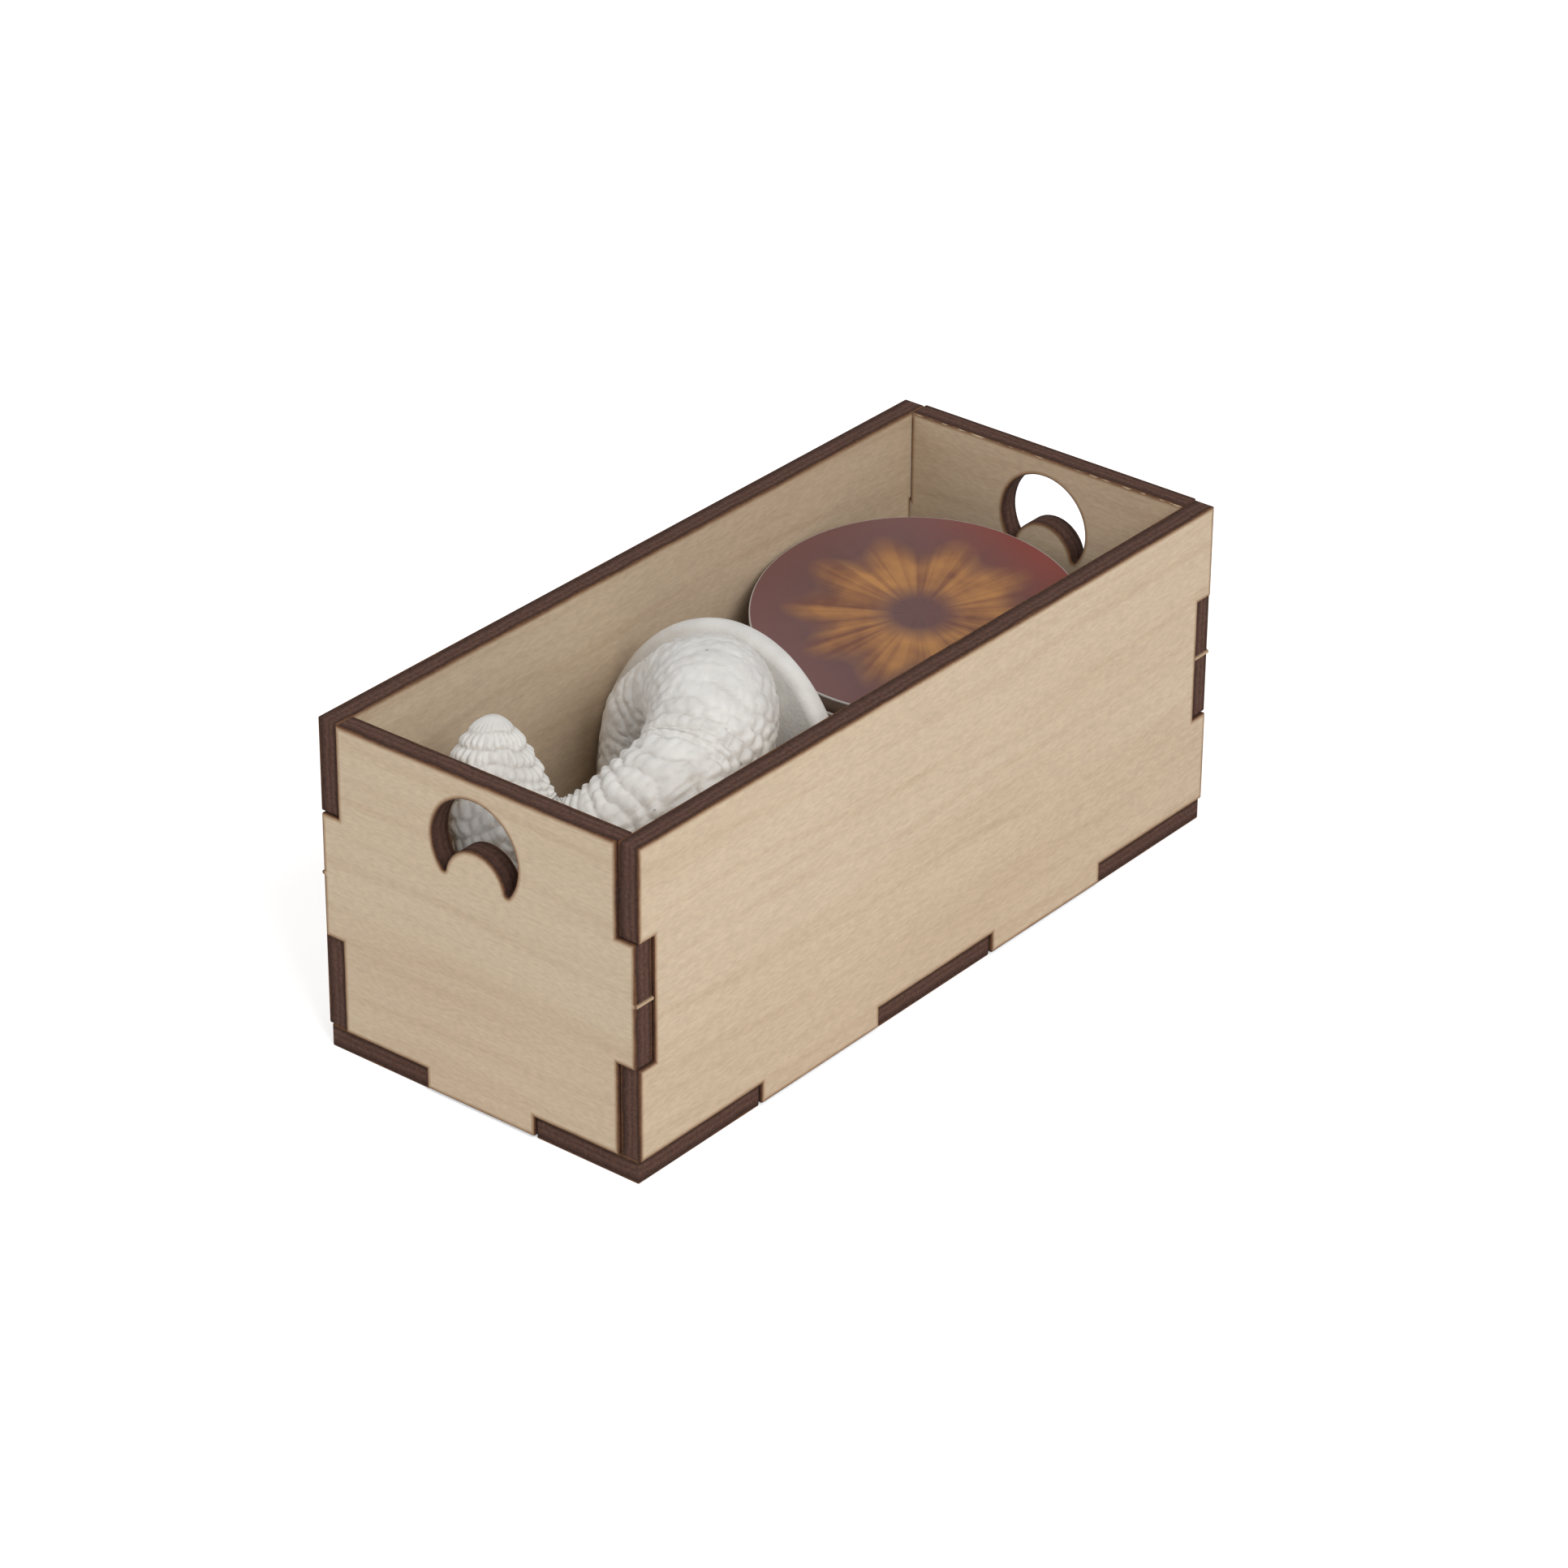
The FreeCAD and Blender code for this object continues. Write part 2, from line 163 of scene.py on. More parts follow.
floor_paint.node_tree.links.new(floor_glow.outputs[0], floor_shader.inputs["Emission Strength"])
floor_mesh.materials.append(floor_paint)
print("lamps and floor ready")

# %% [markdown]
# Materials are built from nodes. A few small helpers keep the node code readable: they add a node with its
# settings, a ramp between colours, a step of arithmetic, a noise, a mix of two colours or a bump.

# %% Node helpers
def add_node(tree, kind, values=None, **settings):
    """Add a node, set its properties, and set its input values by name or number."""
    node = tree.nodes.new("ShaderNode" + kind)
    for key, value in settings.items():
        setattr(node, key, value)
    for key, value in (values or {}).items():
        node.inputs[key].default_value = value
    return node


def add_ramp(tree, factor, stops):
    """A colour ramp from a factor socket; stops are (position, (r, g, b))."""
    ramp = tree.nodes.new("ShaderNodeValToRGB")
    while len(ramp.color_ramp.elements) < len(stops):
        ramp.color_ramp.elements.new(1.0)
    for element, (position, colour) in zip(ramp.color_ramp.elements, stops):
        element.position = position
        element.color = (*colour, 1)
    tree.links.new(factor, ramp.inputs["Fac"])
    return ramp.outputs["Color"]


def add_math(tree, operation, first, second=None):
    """A maths node; each input is a socket or a number."""
    node = tree.nodes.new("ShaderNodeMath")
    node.operation = operation
    for slot, value in enumerate((first, second)):
        if isinstance(value, (int, float)):
            node.inputs[slot].default_value = value
        elif value is not None:
            tree.links.new(value, node.inputs[slot])
    return node.outputs[0]


def add_noise(tree, vector, scale, detail=3.0):
    """A noise value between 0 and 1 on a vector socket."""
    node = add_node(tree, "TexNoise", {"Scale": scale, "Detail": detail})
    tree.links.new(vector, node.inputs["Vector"])
    return node.outputs["Fac"]


def add_mix(tree, factor, first, second, blend="MIX"):
    """A colour mix; factor, first and second are sockets, or numbers and colours."""
    node = tree.nodes.new("ShaderNodeMix")
    node.data_type = "RGBA"
    node.blend_type = blend
    for slot, value in ((0, factor), (6, first), (7, second)):
        if isinstance(value, (int, float)):
            node.inputs[slot].default_value = value
        elif isinstance(value, tuple):
            node.inputs[slot].default_value = (*value, 1)
        else:
            tree.links.new(value, node.inputs[slot])
    return node.outputs[2]


def new_material(name, roughness):
    """A material with its Principled shader at hand."""
    material = bpy.data.materials.new(name)
    material.use_nodes = True
    shader = material.node_tree.nodes["Principled BSDF"]
    shader.inputs["Roughness"].default_value = roughness
    return material, material.node_tree, shader


def bump_from(tree, shader, height, strength, distance):
    """Let a height socket shade the surface."""
    bump = add_node(tree, "Bump", {"Strength": strength, "Distance": distance})
    tree.links.new(height, bump.inputs["Height"])
    tree.links.new(bump.outputs["Normal"], shader.inputs["Normal"])


# %% [markdown]
# The faces of the panels are raw birch-like plywood: pale tan, with soft streaks along the grain, short
# dark pores and a faint cathedral figure. The walls and the floor share the grain, so it is one node
# group that takes a vector whose X runs along the grain. A laser leaves an amber stain beside each cut,
# and the piece carries that as a number on its points, called scorch.

# %% Plywood grain group
TAN = (0.600, 0.474, 0.334)
TAN_LIGHT = (0.622, 0.500, 0.360)
TAN_PINK = (0.572, 0.440, 0.308)
FIGURE_LINE = (0.470, 0.330, 0.220)
PORE = (0.330, 0.230, 0.150)


def grain_group():
    """The node group that colours a plywood face and gives its height."""
    tree = bpy.data.node_groups.new("plywood_grain", "ShaderNodeTree")
    tree.interface.new_socket("Along Grain", in_out="INPUT", socket_type="NodeSocketVector")
    tree.interface.new_socket("Colour", in_out="OUTPUT", socket_type="NodeSocketColor")
    tree.interface.new_socket("Height", in_out="OUTPUT", socket_type="NodeSocketFloat")
    enter = tree.nodes.new("NodeGroupInput")
    leave = tree.nodes.new("NodeGroupOutput")

    def stretched(along, across):
        mapping = add_node(tree, "Mapping", {"Scale": (along, across, across)})
        tree.links.new(enter.outputs[0], mapping.inputs["Vector"])
        return mapping.outputs["Vector"]

    broad = add_noise(tree, stretched(9, 60), 1.0, 4.0)
    streak = add_noise(tree, stretched(30, 700), 1.0, 5.0)
    pores = add_noise(tree, stretched(420, 4600), 1.0, 2.0)
    figure_values = {"Scale": 1.0, "Distortion": 7.0, "Detail": 2.0, "Detail Scale": 0.8}
    figure = add_node(tree, "TexWave", figure_values,
                      wave_type="BANDS", bands_direction="Y", wave_profile="SIN")
    tree.links.new(stretched(16, 42), figure.inputs["Vector"])
    patch = add_noise(tree, stretched(60, 60), 1.0, 2.0)
    base = add_ramp(tree, broad, [(0.30, TAN_PINK), (0.50, TAN), (0.72, TAN_LIGHT)])
    line = add_node(tree, "MapRange", {"From Min": 0.90, "From Max": 1.0, "To Max": 0.42}, clamp=True)
    tree.links.new(figure.outputs["Fac"], line.inputs["Value"])
    figured = add_mix(tree, add_math(tree, "MULTIPLY", line.outputs["Result"], patch), base, FIGURE_LINE)
    streak_colour = add_ramp(tree, streak, [
        (0.32, (0.94, 0.92, 0.90)), (0.52, (1.0, 1.0, 1.0)), (0.74, (1.02, 1.02, 1.015))])
    speckle = add_noise(tree, stretched(900, 2600), 1.0, 2.0)
    speckle_colour = add_ramp(tree, speckle, [(0.30, (0.90, 0.89, 0.88)), (0.70, (1.085, 1.085, 1.085))])
    streaked = add_mix(tree, 0.7, figured, streak_colour, "MULTIPLY")
    speckled = add_mix(tree, 0.8, streaked, speckle_colour, "MULTIPLY")
    pore_mask = add_math(tree, "GREATER_THAN", pores, 0.68)
    pore_share = add_math(tree, "MULTIPLY", pore_mask, add_math(tree, "MULTIPLY", patch, 0.40))
    finished = add_mix(tree, pore_share, speckled, PORE)
    tree.links.new(finished, leave.inputs["Colour"])
    height = add_math(tree, "SUBTRACT", streak, pore_mask)
    tree.links.new(height, leave.inputs["Height"])
    return tree


plywood_grain = grain_group()
print("grain group", len(plywood_grain.nodes), "nodes")

# %% [markdown]
# A panel's face turns its own grain: along Y on the long walls and the floor, along X on the short walls.
# The scorch number darkens the face to amber and then brown towards a cut, broken up by noise, because a
# laser's stain is never even. Where the number called chip is set, small flakes have come off the edge.

# %% Plywood face
SCORCH_AMBER = (0.33, 0.195, 0.105)
SCORCH_BROWN = (0.085, 0.046, 0.032)
CHIP_PALE = (0.600, 0.480, 0.330)


def grain_vector(tree, axes):
    """Object coordinates in the order along, across, through."""
    coordinate = tree.nodes.new("ShaderNodeTexCoord")
    split = tree.nodes.new("ShaderNodeSeparateXYZ")
    join = tree.nodes.new("ShaderNodeCombineXYZ")
    tree.links.new(coordinate.outputs["Object"], split.inputs[0])
    for slot, axis in enumerate(axes):
        tree.links.new(split.outputs[axis], join.inputs[slot])
    return join.outputs[0]


def plywood_face(name, axes):
    """The material of a panel's two broad faces."""
    material, tree, shader = new_material(name, 0.75)
    shader.inputs["Specular IOR Level"].default_value = 0.25
    vector = grain_vector(tree, axes)
    grain = tree.nodes.new("ShaderNodeGroup")
    grain.node_tree = plywood_grain
    tree.links.new(vector, grain.inputs[0])
    scorch = add_node(tree, "Attribute", attribute_name="scorch")
    ragged = add_noise(tree, vector, 900.0, 4.0)
    wide = add_noise(tree, vector, 110.0, 2.0)
    ragged_share = add_math(tree, "MULTIPLY", ragged, 0.30)
    wide_share = add_math(tree, "MULTIPLY", wide, 0.55)
    uneven = add_math(tree, "ADD", ragged_share, wide_share)
    burn = add_math(tree, "MULTIPLY", scorch.outputs["Fac"], add_math(tree, "ADD", uneven, 0.62))
    amber_share = add_node(tree, "MapRange", {"From Min": 0.22, "From Max": 0.80}, clamp=True)
    brown_share = add_node(tree, "MapRange", {"From Min": 0.70, "From Max": 1.15}, clamp=True)
    tree.links.new(burn, amber_share.inputs["Value"])
    tree.links.new(burn, brown_share.inputs["Value"])
    stained = add_mix(tree, amber_share.outputs["Result"], grain.outputs["Colour"], SCORCH_AMBER)
    burnt = add_mix(tree, brown_share.outputs["Result"], stained, SCORCH_BROWN)
    chip = add_node(tree, "Attribute", attribute_name="chip")
    flake = add_math(tree, "MULTIPLY", chip.outputs["Fac"], add_noise(tree, vector, 520.0, 2.0))
    chip_share = add_node(tree, "MapRange", {"From Min": 0.47, "From Max": 0.53}, clamp=True)
    tree.links.new(flake, chip_share.inputs["Value"])
    chipped = add_mix(tree, chip_share.outputs["Result"], burnt, CHIP_PALE)
    tree.links.new(chipped, shader.inputs["Base Color"])
    bump_from(tree, shader, grain.outputs["Height"], 0.10, 0.0002)
    return material


long_face = plywood_face("plywood_face_long", (1, 2, 0))
floor_face = plywood_face("plywood_face_floor", (1, 0, 2))
end_face = plywood_face("plywood_face_end", (0, 2, 1))

# %% [markdown]
# The cut edges are charred: dark brown, with the plies just showing as lighter and darker lines and soft
# soot patches. The number called ply_depth runs from 0 at one face of the sheet to 1 at the other, so the
# lines follow the plies on every edge. A few uncut bridges, which the maker broke by hand, stay pale.

# %% Charred edge
CHAR_DARK = (0.036, 0.020, 0.016)
CHAR = (0.084, 0.044, 0.034)
CHAR_LIGHT = (0.125, 0.068, 0.050)
CHAR_AMBER = (0.165, 0.072, 0.030)
BRIDGE_PALE = (0.48, 0.34, 0.22)


def charred_edge():
    """The material of every laser-cut edge."""
    material, tree, shader = new_material("charred_edge", 0.9)
    shader.inputs["Specular IOR Level"].default_value = 0.1
    coordinate = tree.nodes.new("ShaderNodeTexCoord")
    position = coordinate.outputs["Object"]
    depth = add_node(tree, "Attribute", attribute_name="ply_depth")
    soot = add_noise(tree, position, 260.0, 4.0)
    fine = add_noise(tree, position, 2200.0, 3.0)
    wobble = add_math(tree, "MULTIPLY", add_math(tree, "SUBTRACT", soot, 0.5), 0.22)
    layer = add_math(tree, "ADD", depth.outputs["Fac"], wobble)
    plies = add_ramp(tree, layer, [
        (0.02, CHAR_AMBER), (0.12, CHAR_DARK), (0.30, CHAR), (0.44, CHAR_LIGHT),
        (0.56, CHAR), (0.72, CHAR_LIGHT), (0.88, CHAR_DARK), (0.98, CHAR_AMBER)])
    sooty = add_mix(tree, add_math(tree, "MULTIPLY", soot, 0.60), plies, CHAR)
    speckle = add_ramp(tree, fine, [(0.30, (0.78, 0.78, 0.78)), (0.70, (1.25, 1.22, 1.18))])
    speckled = add_mix(tree, 1.0, sooty, speckle, "MULTIPLY")
    bridge = add_node(tree, "Attribute", attribute_name="bridge")
    coloured = add_mix(tree, bridge.outputs["Fac"], speckled, BRIDGE_PALE)
    tree.links.new(coloured, shader.inputs["Base Color"])
    bump_from(tree, shader, fine, 0.25, 0.0002)
    return material


edge_material = charred_edge()

# %% [markdown]
# Each panel starts from the frame's own mesh, so its fingers, tabs and finger hole are where the joints
# need them. Its loose triangles are merged and the flat ones dissolved. Then the two broad faces are
# inset by a narrow strip: the strip's outer points get a scorch of 1 and the rest 0, which makes the
# stain fade over the strip. The inner top edges of the end panels get the chip number in the same way.
# A small Bevel modifier takes the sharpness off the corners.

# %% Panels
SCORCH_STRIP = 0.75 * MM
PANEL_BEVEL = 0.14 * MM
BEVEL_ANGLE = math.radians(60)
FLAT_ANGLE = math.radians(1.0)
MERGE_DISTANCE = 0.002 * MM
SAME_PLACE = 0.01 * MM
PANELS = [
    ("bottom_panel", 2, floor_face),
    ("left_side_panel", 0, long_face),
    ("right_side_panel", 0, long_face),
    ("front_end_panel", 1, end_face),
    ("rear_end_panel", 1, end_face),
]


def merged_copy(node):
    """A bmesh of a frame node with its triangles joined and its flat faces dissolved."""
    shape = bmesh.new()
    shape.from_mesh(frame["nodes"][node].data)
    bmesh.ops.remove_doubles(shape, verts=shape.verts, dist=MERGE_DISTANCE)
    bmesh.ops.dissolve_limit(shape, angle_limit=FLAT_ANGLE, verts=shape.verts, edges=shape.edges)
    return shape


def finish_piece(name, shape, materials, body, nodes):
    """Turn a bmesh into an object that rides on a body and stands for frame nodes."""
    mesh = bpy.data.meshes.new(name)
    shape.to_mesh(mesh)
    shape.free()
    for material in materials:
        mesh.materials.append(material)
    piece = bpy.data.objects.new(name, mesh)
    scene.collection.objects.link(piece)
    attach(piece, body)
    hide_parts(*nodes)
    return piece


BRIDGE_LEVEL = 23.7 * MM
BRIDGE_HALF = 0.16 * MM
BRIDGE_FADE = 0.12 * MM
BRIDGE_STAND = 0.34 * MM
FINGER_END_FROM = 23.3 * MM


def add_bridges(shape):
    """The stub of an uncut bridge: a thin pale ridge across each side finger of an end panel."""
    bridge = shape.verts.layers.float["bridge"]
    for step in (-BRIDGE_HALF - BRIDGE_FADE, -BRIDGE_HALF, BRIDGE_HALF, BRIDGE_HALF + BRIDGE_FADE):
        everything = list(shape.verts) + list(shape.edges) + list(shape.faces)
        level = (0, 0, BRIDGE_LEVEL + step)
        bmesh.ops.bisect_plane(shape, geom=everything, plane_co=level, plane_no=(0, 0, 1))
    for vert in shape.verts:
        on_bridge = abs(vert.co.z - BRIDGE_LEVEL) < BRIDGE_HALF + SAME_PLACE
        if abs(vert.co.x) > FINGER_END_FROM and on_bridge:
            vert[bridge] = 1.0
            vert.co.x += math.copysign(BRIDGE_STAND, vert.co.x)


def panel_piece(node, through, face_material):
    """One plywood panel; through is the axis of its thickness."""
    shape = merged_copy(node)
    low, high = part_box(node)
    scorch = shape.verts.layers.float.new("scorch")
    depth = shape.verts.layers.float.new("ply_depth")
    shape.verts.layers.float.new("bridge")
    chip = shape.verts.layers.float.new("chip")
    inner_side = high[through] if low[through] < 0 else low[through]
    broad = [face for face in shape.faces if abs(face.normal[through]) > 0.9]
    rim = set()
    for face in broad:
        for edge in face.edges:
            if any(abs(other.normal[through]) < 0.5 for other in edge.link_faces):
                rim.update(edge.verts)
    for vert in rim:
        vert[scorch] = 1.0
        at_top = through == 1 and high[2] - vert.co.z < SAME_PLACE
        if at_top and abs(vert.co[through] - inner_side) < SAME_PLACE:
            vert[chip] = 1.0
    strip = bmesh.ops.inset_region(
        shape, faces=broad, thickness=SCORCH_STRIP, use_even_offset=True, use_boundary=True)
    for face in shape.faces:
        face.material_index = 0 if abs(face.normal[through]) > 0.9 else 1
    inner = set()
    for face in broad:
        if face.is_valid:
            inner.update(face.verts)
    for vert in inner:
        vert[scorch] = 0.0
        vert[chip] = 0.0
    for vert in shape.verts:
        vert[depth] = (vert.co[through] - low[through]) / (high[through] - low[through])
    if through == 1:
        add_bridges(shape)
    piece = finish_piece(node + "_wood", shape, [face_material, edge_material], "tray", [node])
    rounding = piece.modifiers.new("soft_corners", "BEVEL")
    rounding.width = PANEL_BEVEL
    rounding.segments = 2
    rounding.limit_method = "ANGLE"
    rounding.angle_limit = BEVEL_ANGLE
    print(node, len(strip["faces"]), "strip faces")


for node, through, material in PANELS:
    panel_piece(node, through, material)

# %% [markdown]
# The figure is cast in matte white resin, with warm painted shade in the grooves of its skin and a few dark
# specks.
# The number called groove says how deep in a hollow a point lies.

# %% Resin
RESIN = (0.755, 0.732, 0.692)
RESIN_DULL = (0.665, 0.640, 0.600)
RESIN_SHADE = (0.480, 0.445, 0.395)
RESIN_SPECK = (0.16, 0.14, 0.12)


def resin():
    """Matte white resin with warm painted shade in its grooves and a few dark specks."""
    material, tree, shader = new_material("white_resin", 0.52)
    coordinate = tree.nodes.new("ShaderNodeTexCoord")
    position = coordinate.outputs["Object"]
    cloud = add_noise(tree, position, 240.0, 4.0)
    grit = add_noise(tree, position, 2600.0, 3.0)
    spots = add_node(tree, "TexVoronoi", {"Scale": 210.0, "Randomness": 1.0}, feature="F1")
    tree.links.new(position, spots.inputs["Vector"])
    groove = add_node(tree, "Attribute", attribute_name="groove")
    tone = add_ramp(tree, cloud, [(0.34, RESIN_DULL), (0.60, RESIN)])
    # Painted shade: the groove number darkens the hollows of the skin towards RESIN_SHADE.
    groove_shaded = add_mix(tree, add_math(tree, "MULTIPLY", groove.outputs["Fac"], 0.78), tone, RESIN_SHADE)
    speck = add_math(tree, "LESS_THAN", spots.outputs["Distance"], 0.045)
    speckled = add_mix(tree, add_math(tree, "MULTIPLY", speck, 0.55), groove_shaded, RESIN_SPECK)
    tree.links.new(speckled, shader.inputs["Base Color"])
    bump_from(tree, shader, grit, 0.30, 0.0002)
    shader.inputs["Subsurface Weight"].default_value = 0.06
    shader.inputs["Subsurface Radius"].default_value = (0.002, 0.0015, 0.001)
    return material


resin_material = resin()

# %% [markdown]
# The figure's base is a plain round plate with a soft rim. Its middle and direction are read from the frame:
# the two flat caps are the largest faces, and the front one looks towards -Y.

# %% Figure base
BASE_RIM = 1.25 * MM
BASE_SEGMENTS = 160
BASE_RIM_SEGMENTS = 6
base_shape = merged_copy("figure_base")
caps = sorted(base_shape.faces, key=lambda face: face.calc_area())[-2:]
front_cap = min(caps, key=lambda face: face.normal.y)
back_cap = max(caps, key=lambda face: face.normal.y)
base_out = front_cap.normal.copy()
base_front = front_cap.calc_center_median_weighted()
base_back = back_cap.calc_center_median_weighted()
base_thickness = (base_front - base_back).dot(base_out)
base_radius = max((vert.co - base_back - base_out * (vert.co - base_back).dot(base_out)).length
                  for vert in base_shape.verts)
base_shape.free()
base_across = Vector((0, 0, 1)).cross(base_out).normalized()
base_up = base_out.cross(base_across)
figure_axes = Matrix((base_across, base_up, base_out)).transposed().to_4x4()
print("base radius", round(base_radius / MM, 2), "thickness", round(base_thickness / MM, 2), "mm")


def plate(radius, thickness, rim, segments, rim_segments):
    """A round plate standing on z = 0 with rounded edges."""
    shape = bmesh.new()
    bmesh.ops.create_cone(
        shape, cap_ends=True, segments=segments, radius1=radius, radius2=radius, depth=thickness)
    bmesh.ops.translate(shape, verts=shape.verts, vec=(0, 0, thickness / 2))
    edges = [edge for edge in shape.edges if abs(edge.verts[0].co.z - edge.verts[1].co.z) < thickness / 2]
    bmesh.ops.bevel(shape, geom=edges, offset=rim, offset_type="OFFSET", affect="EDGES",
                    segments=rim_segments, profile=0.5, material=-1, clamp_overlap=True)
    return shape


base_shape = plate(base_radius, base_thickness, BASE_RIM, BASE_SEGMENTS, BASE_RIM_SEGMENTS)
base_shape.verts.layers.float.new("groove")
bmesh.ops.transform(base_shape, matrix=Matrix.Translation(base_back) @ figure_axes, verts=base_shape.verts)
for face in base_shape.faces:
    face.smooth = len(face.verts) == 4
finish_piece(
    "figure_base_resin", base_shape, [resin_material], "figure", ["figure_base"])

# %% [markdown]
# The tentacle follows the same control points as the solid. Blender's own NURBS spline is that curve, so
# a bevel-free curve object is turned into a mesh to read its points, which are then spread evenly. A ring
# is made at each point and neighbouring rings are bridged. The ring's own direction is carried along
# without twist, so that the lumps of one rib sit between those of the next.

# %% Tentacle centre line
TENTACLE_ROUTE_MM = [
    (-0.4, 7.6, -4.2), (-0.4, 13.6, 5.2), (9.3, 16.7, 10.0), (12.4, 8.4, 15.9), (13.4, 8.2, 20.8),
    (9.8, -1.2, 26.8), (3.0, -2.7, 32.0), (-2.0, 2.8, 34.1), (-3.6, 12.7, 33.5),
]
TENTACLE_ROOT = 8.4 * MM
TENTACLE_END = 6.7 * MM
TIP_LENGTH = 11.0 * MM
TIP_FLAT = 0.8 * MM
ROLL_ROUTE_MM = [(-5.7, -5.0, 3.0), (-7.8, 6.6, 3.0), (-3.0, 11.9, 3.0)]
ROLL_RADIUS = 7.0 * MM
ROLL_STRENGTH = 0.45
RING_COUNT = 330
ROLL_RINGS = 170
RING_POINTS = 160

figure_place = Matrix.Translation(base_front) @ figure_axes


def spline_points(route):
    """Closely spaced points of the smooth spline that has the route as its control points."""
    curve = bpy.data.curves.new("tentacle_route", "CURVE")
    curve.dimensions = "3D"
    spline = curve.splines.new("NURBS")
    spline.points.add(len(route) - 1)
    for point, spot in zip(spline.points, route):
        point.co = (*spot, 1)
    spline.order_u = 4
    spline.use_endpoint_u = True
    spline.resolution_u = 48
    holder = bpy.data.objects.new("tentacle_route", curve)
    mesh = bpy.data.meshes.new_from_object(holder)
    points = [vert.co.copy() for vert in mesh.vertices]
    bpy.data.objects.remove(holder)
    bpy.data.meshes.remove(mesh)
    return points


def spread_evenly(points, count):
    """Points at even steps along a chain of points, and the chain's length."""
    lengths = [0.0]
    for first, second in zip(points, points[1:]):
        lengths.append(lengths[-1] + (second - first).length)
    total = lengths[-1]
    even = []
    index = 0
    for step in range(count):
        target = total * step / (count - 1)
        while index < len(points) - 2 and lengths[index + 1] < target:
            index += 1
        share = (target - lengths[index]) / (lengths[index + 1] - lengths[index])
        even.append(points[index].lerp(points[index + 1], share))
    return even, total


tentacle_route = [Vector(spot) * MM for spot in TENTACLE_ROUTE_MM]
centre_line, tentacle_length = spread_evenly(spline_points(tentacle_route), RING_COUNT)
print("tentacle length", round(tentacle_length / MM, 1), "mm")

# %% [markdown]
# The skin has irregular ribs across the tentacle, a little wavy and broken, and rows of low round lumps,
# strongest on the side that faces down and right. Near the crown it is smoother. All of it is a small
# change of the ring's radius, so it is real geometry. The groove number remembers the hollows for the
# painted shade in them.

# %% Tentacle skin
RIB_STEP = 1.8 * MM
RIB_DEPTH = 0.56 * MM
LUMP_WIDTH = 1.6 * MM
LUMP_DEPTH = 0.72 * MM
PEBBLE_HEIGHT = 0.17 * MM
SKIN_SINK = 0.20 * MM
TIP_FADE = 2.5 * MM
CROWN_STRENGTH = 0.34
RIBS_RISE_FROM = 0.26
RIBS_RISE_TO = 0.44
LUMP_SIDE = Vector((0.8, -0.5, 0.0))


def smooth_step(value, low, high):
    """0 below low, 1 above high, and a soft rise between."""
    share = min(1.0, max(0.0, (value - low) / (high - low)))
    return share * share * (3 - 2 * share)


def trunk_radius(along):
    """A taper like the solid's: slow at first, then a tip that is a little more pointed."""
    tip_start = tentacle_length - TIP_LENGTH
    if along <= tip_start:
        return TENTACLE_ROOT + (TENTACLE_END - TENTACLE_ROOT) * along / tip_start
    share = (along - tip_start) / TIP_LENGTH
    return TIP_FLAT + (TENTACLE_END - TIP_FLAT) * max(0.0, 1 - share ** 1.7) ** 0.7


def trunk_strength(along):
    """How strong the ribs are: faint at the crown, full towards the tip."""
    rise = smooth_step(along, RIBS_RISE_FROM * tentacle_length, RIBS_RISE_TO * tentacle_length)
    return CROWN_STRENGTH + (1 - CROWN_STRENGTH) * rise


def skin_height(along, angle, spot, outward, strength):
    """Height of the skin over the plain tube, and how deep in a groove the point lies."""
    wander = noise.noise(spot * 130) * 0.8 + noise.noise(spot * 420) * 0.3
    phase = along / RIB_STEP + wander
    row = math.floor(phase)
    rib = abs(math.sin(math.pi * phase)) ** 0.7
    broken = 0.62 + 0.38 * smooth_step(noise.noise(spot * 240 + Vector((7, 3, 1))), -0.35, 0.15)
    lump_phase = angle * TENTACLE_END / LUMP_WIDTH + 0.5 * row + noise.noise(spot * 300) * 0.5
    lump = abs(math.sin(math.pi * lump_phase)) ** 0.7
    lumpy = 0.35 + 0.65 * smooth_step(outward.dot(LUMP_SIDE), -0.45, 0.35)
    height = strength * broken * (RIB_DEPTH * (rib - 0.75) + LUMP_DEPTH * lumpy * rib * (lump - 0.75))
    height += PEBBLE_HEIGHT * noise.noise(spot * 1100)
    hollow = (1 - smooth_step(rib, 0.0, 0.5)) + 0.7 * lumpy * (1 - smooth_step(lump, 0.0, 0.45))
    return height, min(1.0, strength * broken * hollow)


